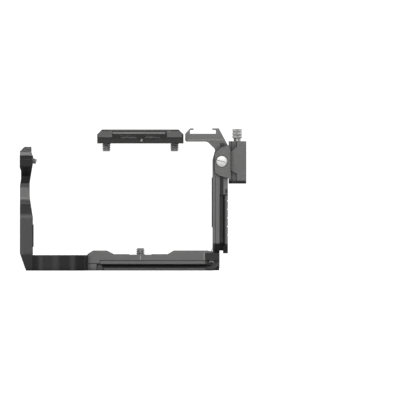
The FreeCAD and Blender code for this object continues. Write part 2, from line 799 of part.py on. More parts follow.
def build_wrench():
    """Flat steel screwdriver that lies in the slot under the base, and its two magnets."""
    end = S["bay_left"] + S["bay_width"] + S["column_skin"]
    top = S["wrench_high"] - S["wrench_gap"]
    half = S["wrench_width"] / 2
    slim = half * 0.36
    middle = S["wrench_middle_y"]
    far = end - S["wrench_length"] + S["wrench_gap"]
    near = end - S["wrench_inset"]
    body = new_body("slotted_wrench")
    add_slab(body, "blade", "XY", top - S["wrench_thickness"], top, [
        (near - 12, middle - half, 3),
        (near, middle - half, 3),
        (near, middle + half, 3),
        (near - 12, middle + half, 3),
        (near - 17, middle + slim, 3),
        (far + 6, middle + slim, 2),
        (far, middle + slim - 1),
        (far, middle - slim + 1),
        (far + 6, middle - slim, 2),
        (near - 17, middle - slim, 3),
    ])
    for name, x in (("right", end - 12), ("left", end - S["wrench_length"] + 10)):
        magnet = new_body(f"wrench_magnet_{name}")
        add_rods(magnet, "disc", "XY", S["wrench_high"], S["wrench_high"] + S["magnet_height"],
                 [(x, middle, S["magnet_radius"])])


def build_small_screws():
    """Set screw of the end pocket and stop screw of the side rail."""
    outer = S["bay_left"] + S["bay_width"] + S["column_skin"]
    end = outer
    z = S["end_pocket_middle_z"]
    for label, tip, y, height, length in (
            ("base_set_screw", end - S["end_pocket_depth"] - 0.3, S["set_screw_y"], z, 5.0),
            ("rail_stop_screw", outer + S["side_rail_neck"] + S["side_rail_flange"] - 0.3,
             S["side_rail_middle"], S["stop_hole_height"], 3.7)):
        body = new_body(label)
        add_rods(body, "shank", "YZ", tip - length, tip, [(y, height, S["stop_screw_radius"])])
        cut_rods(body, "socket", "YZ", tip - 1.2, tip + 1, [(y, height, S["stop_screw_radius"] / 2)])


def build_lock_screw(frame):
    """Screw through the head of the grip arm, tipped down towards the camera, and its hole."""
    tilt = S["lock_screw_angle"] + 90
    place = {"at": (S["lock_screw_x"], S["lock_screw_y"], S["lock_screw_z"]),
             "turn_axis": Vector(0, 1, 0), "turn": tilt}
    radius = S["lock_screw_radius"]
    build_screw("grip_lock_screw", radius, radius - 0.4, S["lock_neck"], S["lock_screw_length"],
                S["lock_head_radius"], S["lock_head_height"], **place)
    # The hole is a groove about the screw's own tilted axis
    before = volume_of(frame)
    sketch = frame.newObject("Sketcher::SketchObject", "lock_hole_outline")
    roles = {feature.Role: feature for feature in frame.Origin.OriginFeatures}
    sketch.AttachmentSupport = [(roles["XZ_Plane"], "")]
    sketch.MapMode = "FlatFace"
    sketch.AttachmentOffset = Placement(Vector(0, 0, 0), Rotation(Vector(0, 0, -1), 20))
    bind(sketch, "AttachmentOffset.Rotation.Angle", S["lock_screw_angle"])
    bind(sketch, "AttachmentOffset.Base.x", S["lock_screw_x"])
    bind(sketch, "AttachmentOffset.Base.y", S["lock_screw_z"])
    bind(sketch, "AttachmentOffset.Base.z", -S["lock_screw_y"])
    draw_outline(sketch, [
        (-S["lock_head_height"] - 4, ZERO),
        (S["lock_screw_length"] + 3, ZERO),
        (S["lock_screw_length"] + 3, radius + S["running_gap"]),
        (S["screw_gap"], radius + S["running_gap"]),
        (S["screw_gap"], S["lock_head_radius"] + 0.3),
        (-S["lock_head_height"] - 4, S["lock_head_radius"] + 0.3),
    ])
    groove = frame.newObject("PartDesign::Groove", "lock_hole")
    groove.Profile = sketch
    groove.ReferenceAxis = (sketch, ["H_Axis"])
    groove.Angle = 360
    if volume_of(frame) >= before:
        raise RuntimeError("lock hole cuts nothing")


def build_pads():
    """Rubber pads on the seat, on the column and on the grip arm."""
    seat = S["seat_height"]
    left = S["bay_left"]
    right = left + S["bay_width"]
    thick = S["pad_thickness"]
    front = S["lip_thickness"] - S["rail_half_width"]
    for name, low, high in (("left", S["base_left"] + 2, ZERO - 8), ("right", ZERO + 8, right - 10)):
        body = new_body(f"seat_pad_{name}")
        add_slab(body, "strip", "XY", seat, seat + thick, [
            (low, front + 3, 2),
            (high, front + 3, 2),
            (high, front + 9, 2),
            (low, front + 9, 2),
        ])
    column = new_body("column_pad")
    middle = (S["column_front"] + S["column_rear"]) / 2
    add_slab(column, "strip", "YZ", right - thick, right, [
        (middle - 4, seat + 20, 2),
        (middle + 4, seat + 20, 2),
        (middle + 4, seat + 56, 2),
        (middle - 4, seat + 56, 2),
    ])
    arm = new_body("grip_pad")
    add_slab(arm, "strip", "YZ", left, left + thick, [
        (S["arm_front"] + 6, seat + 6, 2),
        (S["arm_rear"] - 6, seat + 6, 2),
        (S["arm_rear"] - 6, seat + 22, 2),
        (S["arm_front"] + 6, seat + 22, 2),
    ])


# Top plate: accessory rail above, lower flange below, two captive screws

def build_top_plate():
    """Accessory rail with bevelled edges on a narrower flange, drilled for its screws."""
    body = new_body("top_plate")
    half = S["top_half_length"]
    front = S["top_front"]
    low = S["top_rail_low"]
    high = S["top_height"]
    middle = (low + high) / 2
    rear = front + S["top_rail_depth"]
    tip = S["top_bevel_tip"]
    cut = S["top_chamfer"]
    nose = 9.0
    add_slab(body, "rail", "YZ", -half, half, [
        (front, middle),
        (front + tip, high),
        (rear - tip, high),
        (rear, middle),
        (rear - tip, low),
        (front + tip, low),
    ])
    add_slab(body, "flange", "YZ", -half, half, [
        (front + 5.5, low + 0.5),
        (S["top_lower_front"], S["top_low"]),
        (S["top_rear"], S["top_low"]),
        (S["top_rear"], low - 0.2),
        (rear - 0.5, low - 0.2),
        (rear - 4, low + 0.5),
    ])
    for side, sign in (("left", -1), ("right", 1)):
        end = half * sign
        cut_slab(body, f"top_corner_{side}", "XZ", front - 1, S["top_rear"] + 1, [
            (end + sign * 1, high + 1),
            (end - (cut + 1) * sign, high + 1),
            (end - cut * sign, high),
            (end, high - cut),
            (end + sign * 1, high - cut),
        ])
        cut_slab(body, f"plan_corner_{side}", "XY", low - 5, high + 1, [
            (end + sign * 1, front - 1),
            (end - (nose + 4) * sign, front - 1),
            (end - (nose + 3.4) * sign, front),
            (end, front + 5),
            (end + sign * 1, front + 5),
        ])
    for side, sign in (("left", -1), ("right", 1)):
        cut_slab(body, f"slit_{side}", "XZ", front - 1, front + S["top_bevel_tip"] + 1.5, [
            (S["top_slit_near"] * sign, S["top_slit_low"]),
            (S["top_slit_far"] * sign, S["top_slit_low"]),
            (S["top_slit_far"] * sign, S["top_slit_low"] + S["top_slit_width"]),
            (S["top_slit_near"] * sign, S["top_slit_low"] + S["top_slit_width"]),
        ])
    x = S["top_screw_spacing"] / 2
    y = S["top_screw_y"]
    radius = S["thread_radius"]
    cut_rods(body, "screw_holes", "XY", S["top_low"] - 1, high + 1, [(x, y, radius + 0.15), (-x, y, radius + 0.15)])
    return body


def build_top_screws():
    """Two captive screws of the top plate, heads up, with their rings below the flange."""
    top = S["top_rail_low"] - 0.2
    radius = S["thread_radius"]
    neck = radius - S["neck_relief"]
    depth = top + S["screw_gap"] - S["top_low"]
    for side, sign in (("left", -1), ("right", 1)):
        x = S["top_screw_spacing"] / 2 * sign
        build_screw(f"top_plate_screw_{side}", radius, neck, depth - 0.3, depth + S["top_screw_stand"],
                    S["top_head_radius"], S["top_head_height"],
                    at=(x, S["top_screw_y"], top + S["screw_gap"]), turn_axis=Vector(1, 0, 0), turn=180)


# Cable clamp on the upper column

def clamp_places():
    """Shared places of the clamp: back of the plate, block front, pocket floor and screw seat."""
    back = S["column_front"]
    front = back - S["clamp_plate_depth"]
    return front, back


def build_clamp(frame):
    """Front plate, block and fixed lower finger, machined in one piece."""
    body = new_body("clamp_bracket")
    front, back = clamp_places()
    left = S["clamp_plate_left"]
    x0 = S["clamp_left"]
    x1 = S["clamp_right"]
    low = S["clamp_low"]
    high = S["clamp_high"]
    edge = x0 + 1.4
    add_slab(body, "plate", "XZ", front, back + 0.2, [
        (left, high - 8.9, 4),
        (left + 5, high - 5.0, 3),
        (x0 + 0.4, high - 3.4),
        (edge, high - 7.8, 1),
        (edge, high - 22.0, 1),
        (edge + 0.6, high - 30, 1),
        (x0 - 0.5, high - 27.2),
        (left + 3.2, high - 25.5, 2),
        (left, high - 23, 1),
    ])
    cut_slab(body, "plate_back", "XZ", back, back + 1, [
        (left - 1, low),
        (x0, low),
        (x0, high),
        (left - 1, high),
    ])
    corner = S["clamp_corner"]
    add_slab(body, "block", "YZ", x0, x1, [
        (back - 0.4, low + corner / 2),
        (back + 1.4, low),
        (S["clamp_rear"] - corner, low),
        (S["clamp_rear"], low + corner),
        (S["clamp_rear"], high - 0.6),
        (back - 0.4, high - 0.6),
    ])
    end = S["clamp_finger_end"]
    add_slab(body, "finger", "YZ", x0 + 1, x1 - 1, [
        (S["clamp_rear"] - 1, S["clamp_finger_low"]),
        (S["clamp_rear"] + 6, S["clamp_finger_low"]),
        (end - 1, S["clamp_finger_high"] - 1.8),
        (end, S["clamp_finger_high"] - 1.2),
        (end - 1, S["clamp_finger_high"]),
        (S["clamp_rear"] - 1, S["clamp_finger_high"]),
    ])
    # Two slanted recesses in the block's front, above and below the plate's straight edge
    for name, near, far in (("upper", high - 7.8, high), ("lower", high - 22.0 - 8.4, high - 22.0)):
        inner, outer = (near, near + 3.0) if name == "upper" else (far, far - 2.2)
        rim = far + 0.5 if name == "upper" else near
        cut_slab(body, f"{name}_recess", "XZ", back - 1, back + 1.8, [
            (edge + 0.4, inner),
            (edge + 4.6, outer),
            (edge + 4.6, rim),
            (edge + 0.4, rim),
        ])
    # Guide pocket of the jaw, open to the rear, and the two screw holes
    x = S["thumb_x"]
    lug = S["jaw_lug_half"] + S["jaw_gap"]
    roof = high - 0.6 - S["clamp_roof"]
    floor = S["jaw_top"] - S["jaw_lug_height"] - S["jaw_travel"] - 1
    cut_slab(body, "guide", "XZ", S["thumb_y"] - 4.0, S["clamp_rear"] + 1, [
        (x - lug, floor),
        (x + lug, floor),
        (x + lug, roof),
        (x - lug, roof),
    ])
    shank = S["thumb_shank"] + S["running_gap"]
    cut_rods(body, "thumb_hole", "XY", roof - 1, high, [(x, S["thumb_y"], shank)])
    place = (S["clamp_screw_x"], S["clamp_screw_z"])
    sunk = front + S["clamp_screw_sunk"]
    cut_rods(body, "screw_seat", "XZ", front - 1, sunk, [(*place, S["clamp_screw_head"] + 0.15)])
    cut_rods(body, "screw_hole", "XZ", front, back + 1, [(*place, S["clamp_screw_shank"] + 0.2)])
    cut_rods(frame, "clamp_screw_thread", "XZ", back - 1, back + S["clamp_screw_length"] + 1,
             [(*place, S["clamp_screw_shank"] + S["running_gap"])])
    build_screw("clamp_mount_screw", S["clamp_screw_shank"], S["clamp_screw_shank"] - 0.3, ZERO + 0.8,
                S["clamp_screw_length"] + 1.5, S["clamp_screw_head"], S["clamp_screw_head_height"],
                at=(place[0], sunk, place[1]), turn_axis=Vector(-1, 0, 0), turn=90)


def build_jaw():
    """Sliding jaw: a lug on the thumb screw inside the block and a finger behind it."""
    body = new_body("clamp_jaw")
    x = S["thumb_x"]
    half = S["jaw_lug_half"]
    top = S["jaw_top"]
    rear = S["clamp_rear"] + S["jaw_gap"]
    add_slab(body, "lug", "XZ", S["thumb_y"] - 3.6, rear + 2, [
        (x - half, top - S["jaw_lug_height"]),
        (x + half, top - S["jaw_lug_height"]),
        (x + half, top),
        (x - half, top),
    ])
    add_slab(body, "finger", "YZ", S["clamp_left"] + 1, S["clamp_right"] - 1, [
        (rear, top - S["jaw_thickness"]),
        (S["jaw_end"] - 2.5, top - S["jaw_thickness"]),
        (S["jaw_end"], top - 1.2),
        (S["jaw_end"], top - 0.6),
        (S["jaw_end"] - 1.6, top),
        (rear, top),
    ])
    cut_rods(body, "thread", "XY", top - S["jaw_lug_height"] - 1, top + 1,
             [(x, S["thumb_y"], S["thumb_shank"] + S["running_gap"])])


def build_thumb_screw():
    """Knurled thumb screw: grip, collar on the block's roof and threaded shank."""
    low = S["clamp_high"] - 0.6
    body = new_body("clamp_thumb_screw", at=(S["thumb_x"], S["thumb_y"], low))
    grip = S["thumb_radius"]
    neck = S["thumb_low"] - S["clamp_high"] + 1.2
    tall = S["thumb_top"] - S["clamp_high"] + 0.6
    deep = S["jaw_lug_height"] + S["jaw_travel"] + S["clamp_roof"]
    turn_about_z(body, "blank", [
        (ZERO, -deep),
        (S["thumb_shank"] - 0.4, -deep),
        (S["thumb_shank"], 0.4 - deep),
        (S["thumb_shank"], S["collar_gap"]),
        (grip - 0.9, S["collar_gap"]),
        (grip - 0.9, neck),
        (grip, neck + 0.4),
        (grip, tall - 0.5),
        (grip - 0.5, tall),
        (ZERO, tall),
    ])
    # Knurl: straight flutes round the grip
    count = 16
    before = volume_of(body)
    sketch = new_sketch(body, "flute_circle", "XY", neck)
    draw_circles(sketch, [(grip + 0.25, ZERO, 0.5)])
    flute = extrude("Pocket", body, "flute", "XY", neck, tall + 1, sketch)
    ring = body.newObject("PartDesign::PolarPattern", "clamp_thumb_screw_flutes")
    ring.Originals = [flute]
    ring.Axis = (sketch, ["N_Axis"])
    ring.Angle = 360
    ring.Occurrences = count
    body.Tip = ring
    if volume_of(body) >= before:
        raise RuntimeError("clamp_thumb_screw: flutes cut nothing")
    return body


def build_locating_pin(plate):
    """Short pin under the middle of the top plate's front, beside the camera's shoe."""
    body = new_body("top_locating_pin")
    tip = S["top_lower_front"] - S["pin_reach"]
    circle = [(S["pin_x"], S["pin_z"], S["pin_radius"])]
    add_rods(body, "pin", "XZ", tip, tip + S["pin_length"], circle)
    cut_rods(plate, "pin_hole", "XZ", tip - 1, tip + S["pin_length"], circle)


S.update(fill_sheet(SIZES))
frame_body = build_frame()
build_upper_column(frame_body)
build_base_cuts(frame_body)
cut_frame_holes(frame_body)
build_camera_screw()
build_wrench()
build_small_screws()
build_lock_screw(frame_body)
build_pads()
plate_body = build_top_plate()
build_top_screws()
build_clamp(frame_body)
build_jaw()
build_thumb_screw()
build_locating_pin(plate_body)
doc.recompute()

os.makedirs("parts", exist_ok=True)
for item in doc.Objects:
    if "Invalid" in item.State or "Error" in item.State:
        raise RuntimeError(f"{item.Name} failed: {item.State}")
for item in doc.Objects:
    if item.isDerivedFrom("PartDesign::Body"):
        shape = item.Shape
        if shape.isNull() or not shape.isValid():
            raise RuntimeError(f"{item.Label} has no valid shape")
        print(item.Label, len(shape.Solids), round(shape.Volume, 1), shape.BoundBox)
        shape.exportStep(f"parts/{item.Label}.step")
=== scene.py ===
import json
import math

import bmesh
import bpy
import numpy as np
from mathutils import Matrix, Vector


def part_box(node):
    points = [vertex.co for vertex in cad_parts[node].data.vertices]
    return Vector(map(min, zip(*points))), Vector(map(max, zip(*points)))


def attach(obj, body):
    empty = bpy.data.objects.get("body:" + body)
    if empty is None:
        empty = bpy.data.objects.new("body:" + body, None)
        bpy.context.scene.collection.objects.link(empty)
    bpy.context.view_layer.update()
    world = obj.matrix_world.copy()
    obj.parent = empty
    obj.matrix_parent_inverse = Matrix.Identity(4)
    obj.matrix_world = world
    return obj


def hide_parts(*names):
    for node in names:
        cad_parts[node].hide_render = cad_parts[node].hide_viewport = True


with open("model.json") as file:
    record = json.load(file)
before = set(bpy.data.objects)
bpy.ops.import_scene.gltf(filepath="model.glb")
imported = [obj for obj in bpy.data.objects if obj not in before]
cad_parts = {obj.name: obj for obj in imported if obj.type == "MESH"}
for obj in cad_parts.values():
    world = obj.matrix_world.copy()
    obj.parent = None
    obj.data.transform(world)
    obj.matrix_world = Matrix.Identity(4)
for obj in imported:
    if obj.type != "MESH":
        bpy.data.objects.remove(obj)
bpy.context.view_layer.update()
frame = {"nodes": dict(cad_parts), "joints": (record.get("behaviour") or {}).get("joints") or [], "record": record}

bl_info = {
    "name": "Camera cage dressing",
    "version": (1, 0, 0),
    "blender": (4, 5, 0),
    "location": "View3D > Sidebar > Cage",
    "description": "Finishes, threads, knurl and studio for a machined camera cage",
    "category": "Add Mesh",
}

MM = 0.001

# Place of the picture in the cage's own frame: millimetres per pixel and the picture's centre
MM_PER_PIXEL = 0.7225
PICTURE_SIDE = 400
PICTURE_CENTRE = (43.0, 51.0)
CAMERA_DISTANCE = 12.0      # metres; long, so that the picture is almost a parallel view
CAMERA_CLIP_END = 400.0
SENSOR = 36.0

# Detail of the finishes: lengths in metres, noise scales per metre
GRAIN_DETAIL = 3.0
DRIFT_SCALE = 55.0
TONE_DRIFT = 0.12           # share of the colour that drifts either way
ROUGHNESS_DRIFT = 0.05
GRAIN_DEPTH = 0.00003
EDGE_SAMPLES = 6
# Edges are lightened both for wear and as a painted highlight
EDGE_GAIN = 6.0             # how fast a leaning normal counts as a worn edge
EDGE_NOISE_SCALE = 420.0
# Painted shade: ambient occlusion darkens the colour in grooves and recesses
GROOVE_SHADE_SAMPLES = 8
GROOVE_SHADE_DISTANCE = 0.0035
GROOVE_SHADE_POWER = 1.6
PALE_SCREW_GROOVE_SHADE_POWER = 0.5   # pale screws take less shade in their grooves

# Threads, as shares of the pitch
THREAD_DEPTH = 0.54
CREST_LEVEL = 1.25
FLANK_SLOPE = 3.0
LEAD_IN = 0.9

# Turned pieces, in millimetres
AXIS_RADIUS = 0.0005        # rings this small are merged to a point on the axis
MERGE_DISTANCE = 0.0012
FLAT_EDGE = 0.0001
THREAD_START = 0.02
LEAD_DROP = 0.12            # how far the tip lies below the thread's root
ROWS_PER_TURN = 14
FEWEST_ROWS = 16
SCREW_COLUMNS = 96
HEAD_CROWN = ((-0.45, 0.0), (-0.12, 0.1), (0.0, 0.4))      # from the head's outer corner
HEAD_SHOULDER = ((0.0, -0.25), (-0.2, 0.0))                # from the corner below the head
SLOT_CLEARANCE = 1.0
SMOOTH_ANGLE = 40.0         # degrees

# Screws, in millimetres: head is its radius and height, slot is half length, half width and depth
QUARTER_INCH = {"radius": 3.175, "neck": 2.575, "pitch": 1.27}
CAMERA_SCREW = {"head": (7.0, 3.0), "slot": (9.0, 0.7, 1.3)}
CAMERA_SCREW_THREAD = 5.3
TOP_SCREW = {"head": (4.6, 2.4), "slot": (6.0, 0.7, 1.3)}
TOP_SCREW_THREAD = 5.9
LOCK_SCREW = {"head": (3.6, 1.8), "slot": (5.0, 0.6, 0.9)}
LOCK_SCREW_SHANK = {"radius": 2.0, "neck": 1.6, "neck_length": 5.8, "length": 9.4, "pitch": 0.7}
CLAMP_SCREW = {"head": (4.15, 1.9), "slot": (5.0, 0.35, 0.9)}
CLAMP_SCREW_SHANK = {"radius": 2.0, "neck": 1.7, "neck_length": 0.8, "length": 9.5, "pitch": 0.7}
CLAMP_SLOT_TURN = math.radians(14)

# Thumb screw, in millimetres
THUMB_HEAD_HEIGHT = 8.9
THUMB_COLLAR_HEIGHT = 1.9
THUMB_SHANK = ((AXIS_RADIUS, 0.0), (1.5, 0.0), (1.9, 0.4))
THUMB_SHANK_RADIUS = 1.9
THUMB_HEAD_LIFT = 0.05
THUMB_COLLAR_INSET = 0.9
THUMB_STEP = (-0.45, 0.1)
BAND_COUNT = 3
BAND_FOOT = ((-0.35, 0.2), (0.0, 0.5))                     # from the foot of a knurled band
BAND_TOP = ((0.0, -0.3), (-0.35, -0.02))                   # from its top
CAP_INSET = 0.7
CAP_DROP = 0.001
CAP_SHARE = 0.5
KNURL_TEETH = 28
KNURL_DEPTH = 0.32
KNURL_ROUNDNESS = 0.6
KNURL_COLUMNS = 8 * KNURL_TEETH

# Studio, in metres
FLOOR_HALF_SIDE = 0.45
FLOOR_ROUGHNESS = 0.9
WORLD_LEVEL = 0.14          # light of the surroundings on the cage itself
SOFTBOXES = (
    ("front_softbox", (0.0, -1.9, 0.55), (1.3, 0.9), "key_power"),
    ("top_softbox", (0.0, -0.2, 1.5), (1.6, 1.2), "top_power"),
    ("left_softbox", (-1.7, 0.35, 0.5), (0.9, 0.9), "side_power"),
    ("right_softbox", (1.7, 0.35, 0.5), (0.9, 0.9), "side_power"),
    ("rear_softbox", (0.0, 1.9, 0.7), (1.2, 0.9), "side_power"),
)


# Shared shader groups

def group_with(name, inputs, outputs):
    """An empty node group with named sockets: inputs are (name, default) and outputs (name, type)."""
    group = bpy.data.node_groups.new(name, "ShaderNodeTree")
    for label, default in inputs:
        kind = "NodeSocketVector" if isinstance(default, tuple) else "NodeSocketFloat"
        socket = group.interface.new_socket(label, in_out="INPUT", socket_type=kind)
        socket.default_value = default
    for label, kind in outputs:
        group.interface.new_socket(label, in_out="OUTPUT", socket_type=kind)
    start = group.nodes.new("NodeGroupInput")
    end = group.nodes.new("NodeGroupOutput")
    return group, start, end


def math_node(tree, operation, first, second=None, clamp=False):
    """A Math node fed by sockets or plain numbers."""
    node = tree.nodes.new("ShaderNodeMath")
    node.operation = operation
    node.use_clamp = clamp
    for slot, value in zip(node.inputs, (first, second)):
        if value is None:
            continue
        if isinstance(value, (int, float)):
            slot.default_value = value
        else:
            tree.links.new(value, slot)
    return node.outputs[0]


def fine_grain_group():
    """Bead-blast grain: two noises on Object coordinates give a height, a tone and a roughness drift."""
    group, start, end = group_with("fine_grain", [("Grain", 9000.0), ("Drift", 60.0)],
                                   [("Height", "NodeSocketFloat"), ("Tone", "NodeSocketFloat")])
    place = group.nodes.new("ShaderNodeTexCoord")
    grain = group.nodes.new("ShaderNodeTexNoise")
    drift = group.nodes.new("ShaderNodeTexNoise")
    for node, label in ((grain, "Grain"), (drift, "Drift")):
        group.links.new(place.outputs["Object"], node.inputs["Vector"])
        group.links.new(start.outputs[label], node.inputs["Scale"])
        node.inputs["Detail"].default_value = GRAIN_DETAIL
    group.links.new(grain.outputs["Fac"], end.inputs["Height"])
    group.links.new(drift.outputs["Fac"], end.inputs["Tone"])
    return group


def edge_wear_and_highlight_group():
    """Worn edges with a painted highlight: how far the rounded normal leans from the face normal, broken up by
    noise.
    """
    group, start, end = group_with("edge_wear", [("Radius", 0.0003), ("Amount", 1.0)],
                                   [("Mask", "NodeSocketFloat"), ("Normal", "NodeSocketVector")])
    bevel = group.nodes.new("ShaderNodeBevel")
    bevel.samples = EDGE_SAMPLES
    face = group.nodes.new("ShaderNodeNewGeometry")
    dot = group.nodes.new("ShaderNodeVectorMath")
    dot.operation = "DOT_PRODUCT"
    place = group.nodes.new("ShaderNodeTexCoord")
    noise = group.nodes.new("ShaderNodeTexNoise")
    noise.inputs["Scale"].default_value = EDGE_NOISE_SCALE
    links = group.links
    links.new(start.outputs["Radius"], bevel.inputs["Radius"])
    links.new(bevel.outputs["Normal"], dot.inputs[0])
    links.new(face.outputs["True Normal"], dot.inputs[1])
    links.new(place.outputs["Object"], noise.inputs["Vector"])
    lean = math_node(group, "SUBTRACT", 1.0, dot.outputs["Value"], clamp=True)
    lean = math_node(group, "MULTIPLY", lean, EDGE_GAIN, clamp=True)
    broken = math_node(group, "MULTIPLY", lean, noise.outputs["Fac"])
    mask = math_node(group, "MULTIPLY", broken, start.outputs["Amount"], clamp=True)
    links.new(mask, end.inputs["Mask"])
    links.new(bevel.outputs["Normal"], end.inputs["Normal"])
    return group


def box_mask_group():
    """Box mask: 1 where |p - Centre| - Half is below zero on all three axes, p in the piece's own
    metres."""
    group, start, end = group_with(
        "box_mask", [("Centre", (0.0, 0.0, 0.0)), ("Half", (0.01, 0.01, 0.01))],
        [("Mask", "NodeSocketFloat")])
    place = group.nodes.new("ShaderNodeTexCoord")
    steps = []
    for operation in ("SUBTRACT", "ABSOLUTE", "SUBTRACT"):
        node = group.nodes.new("ShaderNodeVectorMath")
        node.operation = operation
        steps.append(node)
    group.links.new(place.outputs["Object"], steps[0].inputs[0])
    group.links.new(start.outputs["Centre"], steps[0].inputs[1])
    group.links.new(steps[0].outputs[0], steps[1].inputs[0])
    group.links.new(steps[1].outputs[0], steps[2].inputs[0])
    group.links.new(start.outputs["Half"], steps[2].inputs[1])
    apart = group.nodes.new("ShaderNodeSeparateXYZ")
    group.links.new(steps[2].outputs[0], apart.inputs[0])
    far = math_node(group, "MAXIMUM", apart.outputs["X"], apart.outputs["Y"])
    far = math_node(group, "MAXIMUM", far, apart.outputs["Z"])
    group.links.new(math_node(group, "LESS_THAN", far, 0.0), end.inputs["Mask"])
    return group


def place_group(tree, group, **values):
    """Put a shared group into a material with its own values."""
    node = tree.nodes.new("ShaderNodeGroup")
    node.node_tree = group
    for label, value in values.items():
        node.inputs[label].default_value = value
    return node


def mix_node(tree, first=None, second=None, blend="MIX"):
    """A colour Mix node with plain colours in A and B where they are given."""
    node = tree.nodes.new("ShaderNodeMix")
    node.data_type = "RGBA"
    node.blend_type = blend
    for label, colour in (("A", first), ("B", second)):
        if colour is not None:
            node.inputs[label].default_value = (*colour, 1.0)
    return node


def finish_material(name, colour, edge, metallic, rough, grain, wear_and_highlight, bump, radius, painted_light_boxes=(),
                    groove_shade_power=GROOVE_SHADE_POWER):
    """One finish: base tone with slow drift, paler edges that stand for wear and a painted highlight, grain in
    roughness and bump, and painted shade in grooves from ambient occlusion. Each box of painted light or shade
    is given in millimetres, low corner and high corner, with the factor on its colour."""
    material = bpy.data.materials.get(name) or bpy.data.materials.new(name)
    material.use_nodes = True
    tree = material.node_tree
    links = tree.links
    shader = tree.nodes["Principled BSDF"]
    grains = place_group(tree, bpy.data.node_groups["fine_grain"], Grain=grain,
                         Drift=DRIFT_SCALE)
    wear_and_highlight_node = place_group(tree, bpy.data.node_groups["edge_wear"], Radius=radius, Amount=wear_and_highlight)
    tone = mix_node(tree, [c * (1.0 - TONE_DRIFT) for c in colour],
                    [min(1.0, c * (1.0 + TONE_DRIFT)) for c in colour])
    links.new(grains.outputs["Tone"], tone.inputs["Factor"])
    worn_and_highlit = mix_node(tree, second=edge)
    links.new(tone.outputs["Result"], worn_and_highlit.inputs["A"])
    links.new(wear_and_highlight_node.outputs["Mask"], worn_and_highlit.inputs["Factor"])
    # Painted shade in grooves, recesses and corners: ambient occlusion darkens the colour
    groove_shade_ao = tree.nodes.new("ShaderNodeAmbientOcclusion")
    groove_shade_ao.samples = GROOVE_SHADE_SAMPLES
    groove_shade_ao.inputs["Distance"].default_value = GROOVE_SHADE_DISTANCE
    depth = math_node(tree, "POWER", groove_shade_ao.outputs["AO"], groove_shade_power)
    shade = mix_node(tree, blend="MULTIPLY")
    shade.inputs["Factor"].default_value = 1.0
    painted_light_colour = worn_and_highlit.outputs["Result"]
    # Painted light and shade: each box darkens or lightens the colour by its factor
    for low, high, factor in painted_light_boxes:
        half = [(b - a) / 2 * MM for a, b in zip(low, high)]
        middle = [(a + b) / 2 * MM for a, b in zip(low, high)]
        mask = place_group(tree, bpy.data.node_groups["box_mask"], Centre=middle, Half=half)
        painted_light_tint = mix_node(tree, second=(factor, factor, factor), blend="MULTIPLY")
        links.new(mask.outputs["Mask"], painted_light_tint.inputs["Factor"])
        links.new(painted_light_colour, painted_light_tint.inputs["A"])
        painted_light_colour = painted_light_tint.outputs["Result"]
    links.new(painted_light_colour, shade.inputs["A"])
    links.new(depth, shade.inputs["B"])
    links.new(shade.outputs["Result"], shader.inputs["Base Color"])
    spread = tree.nodes.new("ShaderNodeMapRange")
    spread.inputs["To Min"].default_value = rough - ROUGHNESS_DRIFT
    spread.inputs["To Max"].default_value = rough + ROUGHNESS_DRIFT
    links.new(grains.outputs["Height"], spread.inputs["Value"])
    links.new(spread.outputs["Result"], shader.inputs["Roughness"])
    relief = tree.nodes.new("ShaderNodeBump")
    relief.inputs["Strength"].default_value = bump
    relief.inputs["Distance"].default_value = GRAIN_DEPTH
    links.new(grains.outputs["Height"], relief.inputs["Height"])
    links.new(wear_and_highlight_node.outputs["Normal"], relief.inputs["Normal"])
    links.new(relief.outputs["Normal"], shader.inputs["Normal"])
    shader.inputs["Metallic"].default_value = metallic


# Surfaces worked out with numpy

def grid_faces(rows, columns):
    """Quads of a grid whose columns close round; row by row, pointing outwards for rising rows."""
    row, column = np.meshgrid(np.arange(rows - 1), np.arange(columns), indexing="ij")
    step = (column + 1) % columns
    quads = np.stack([row * columns + column, row * columns + step,
                      (row + 1) * columns + step, (row + 1) * columns + column], axis=-1)
    return quads.reshape(-1, 4)


def mesh_from(name, points, quads):
    """A mesh object from arrays of points and quads."""
    mesh = bpy.data.meshes.new(name)
    mesh.from_pydata(points.tolist(), [], quads.tolist())
    mesh.validate()
    mesh.update()
    piece = bpy.data.objects.new(name, mesh)
    bpy.context.scene.collection.objects.link(piece)
    return piece


def round_surface(radius_at, heights, columns):
    """Surface of revolution whose radius depends on angle and height: x = r cos a, y = r sin a."""
    angle = np.linspace(0.0, 2 * np.pi, columns, endpoint=False)
    a, z = np.meshgrid(angle, heights)
    r = radius_at(a, np.arange(len(heights))[:, None], z)
    points = np.stack([r * np.cos(a), r * np.sin(a), z], axis=-1).reshape(-1, 3)
    return points, grid_faces(len(heights), columns)


def thread_wave(a, z, pitch):
    """Triangle wave of a single-start thread: 1 on the crest and 0 at the root."""
    phase = np.mod(z / pitch - a / (2 * np.pi), 1.0)
    return np.clip(CREST_LEVEL - np.abs(phase - 0.5) * FLANK_SLOPE, 0.0, 1.0)


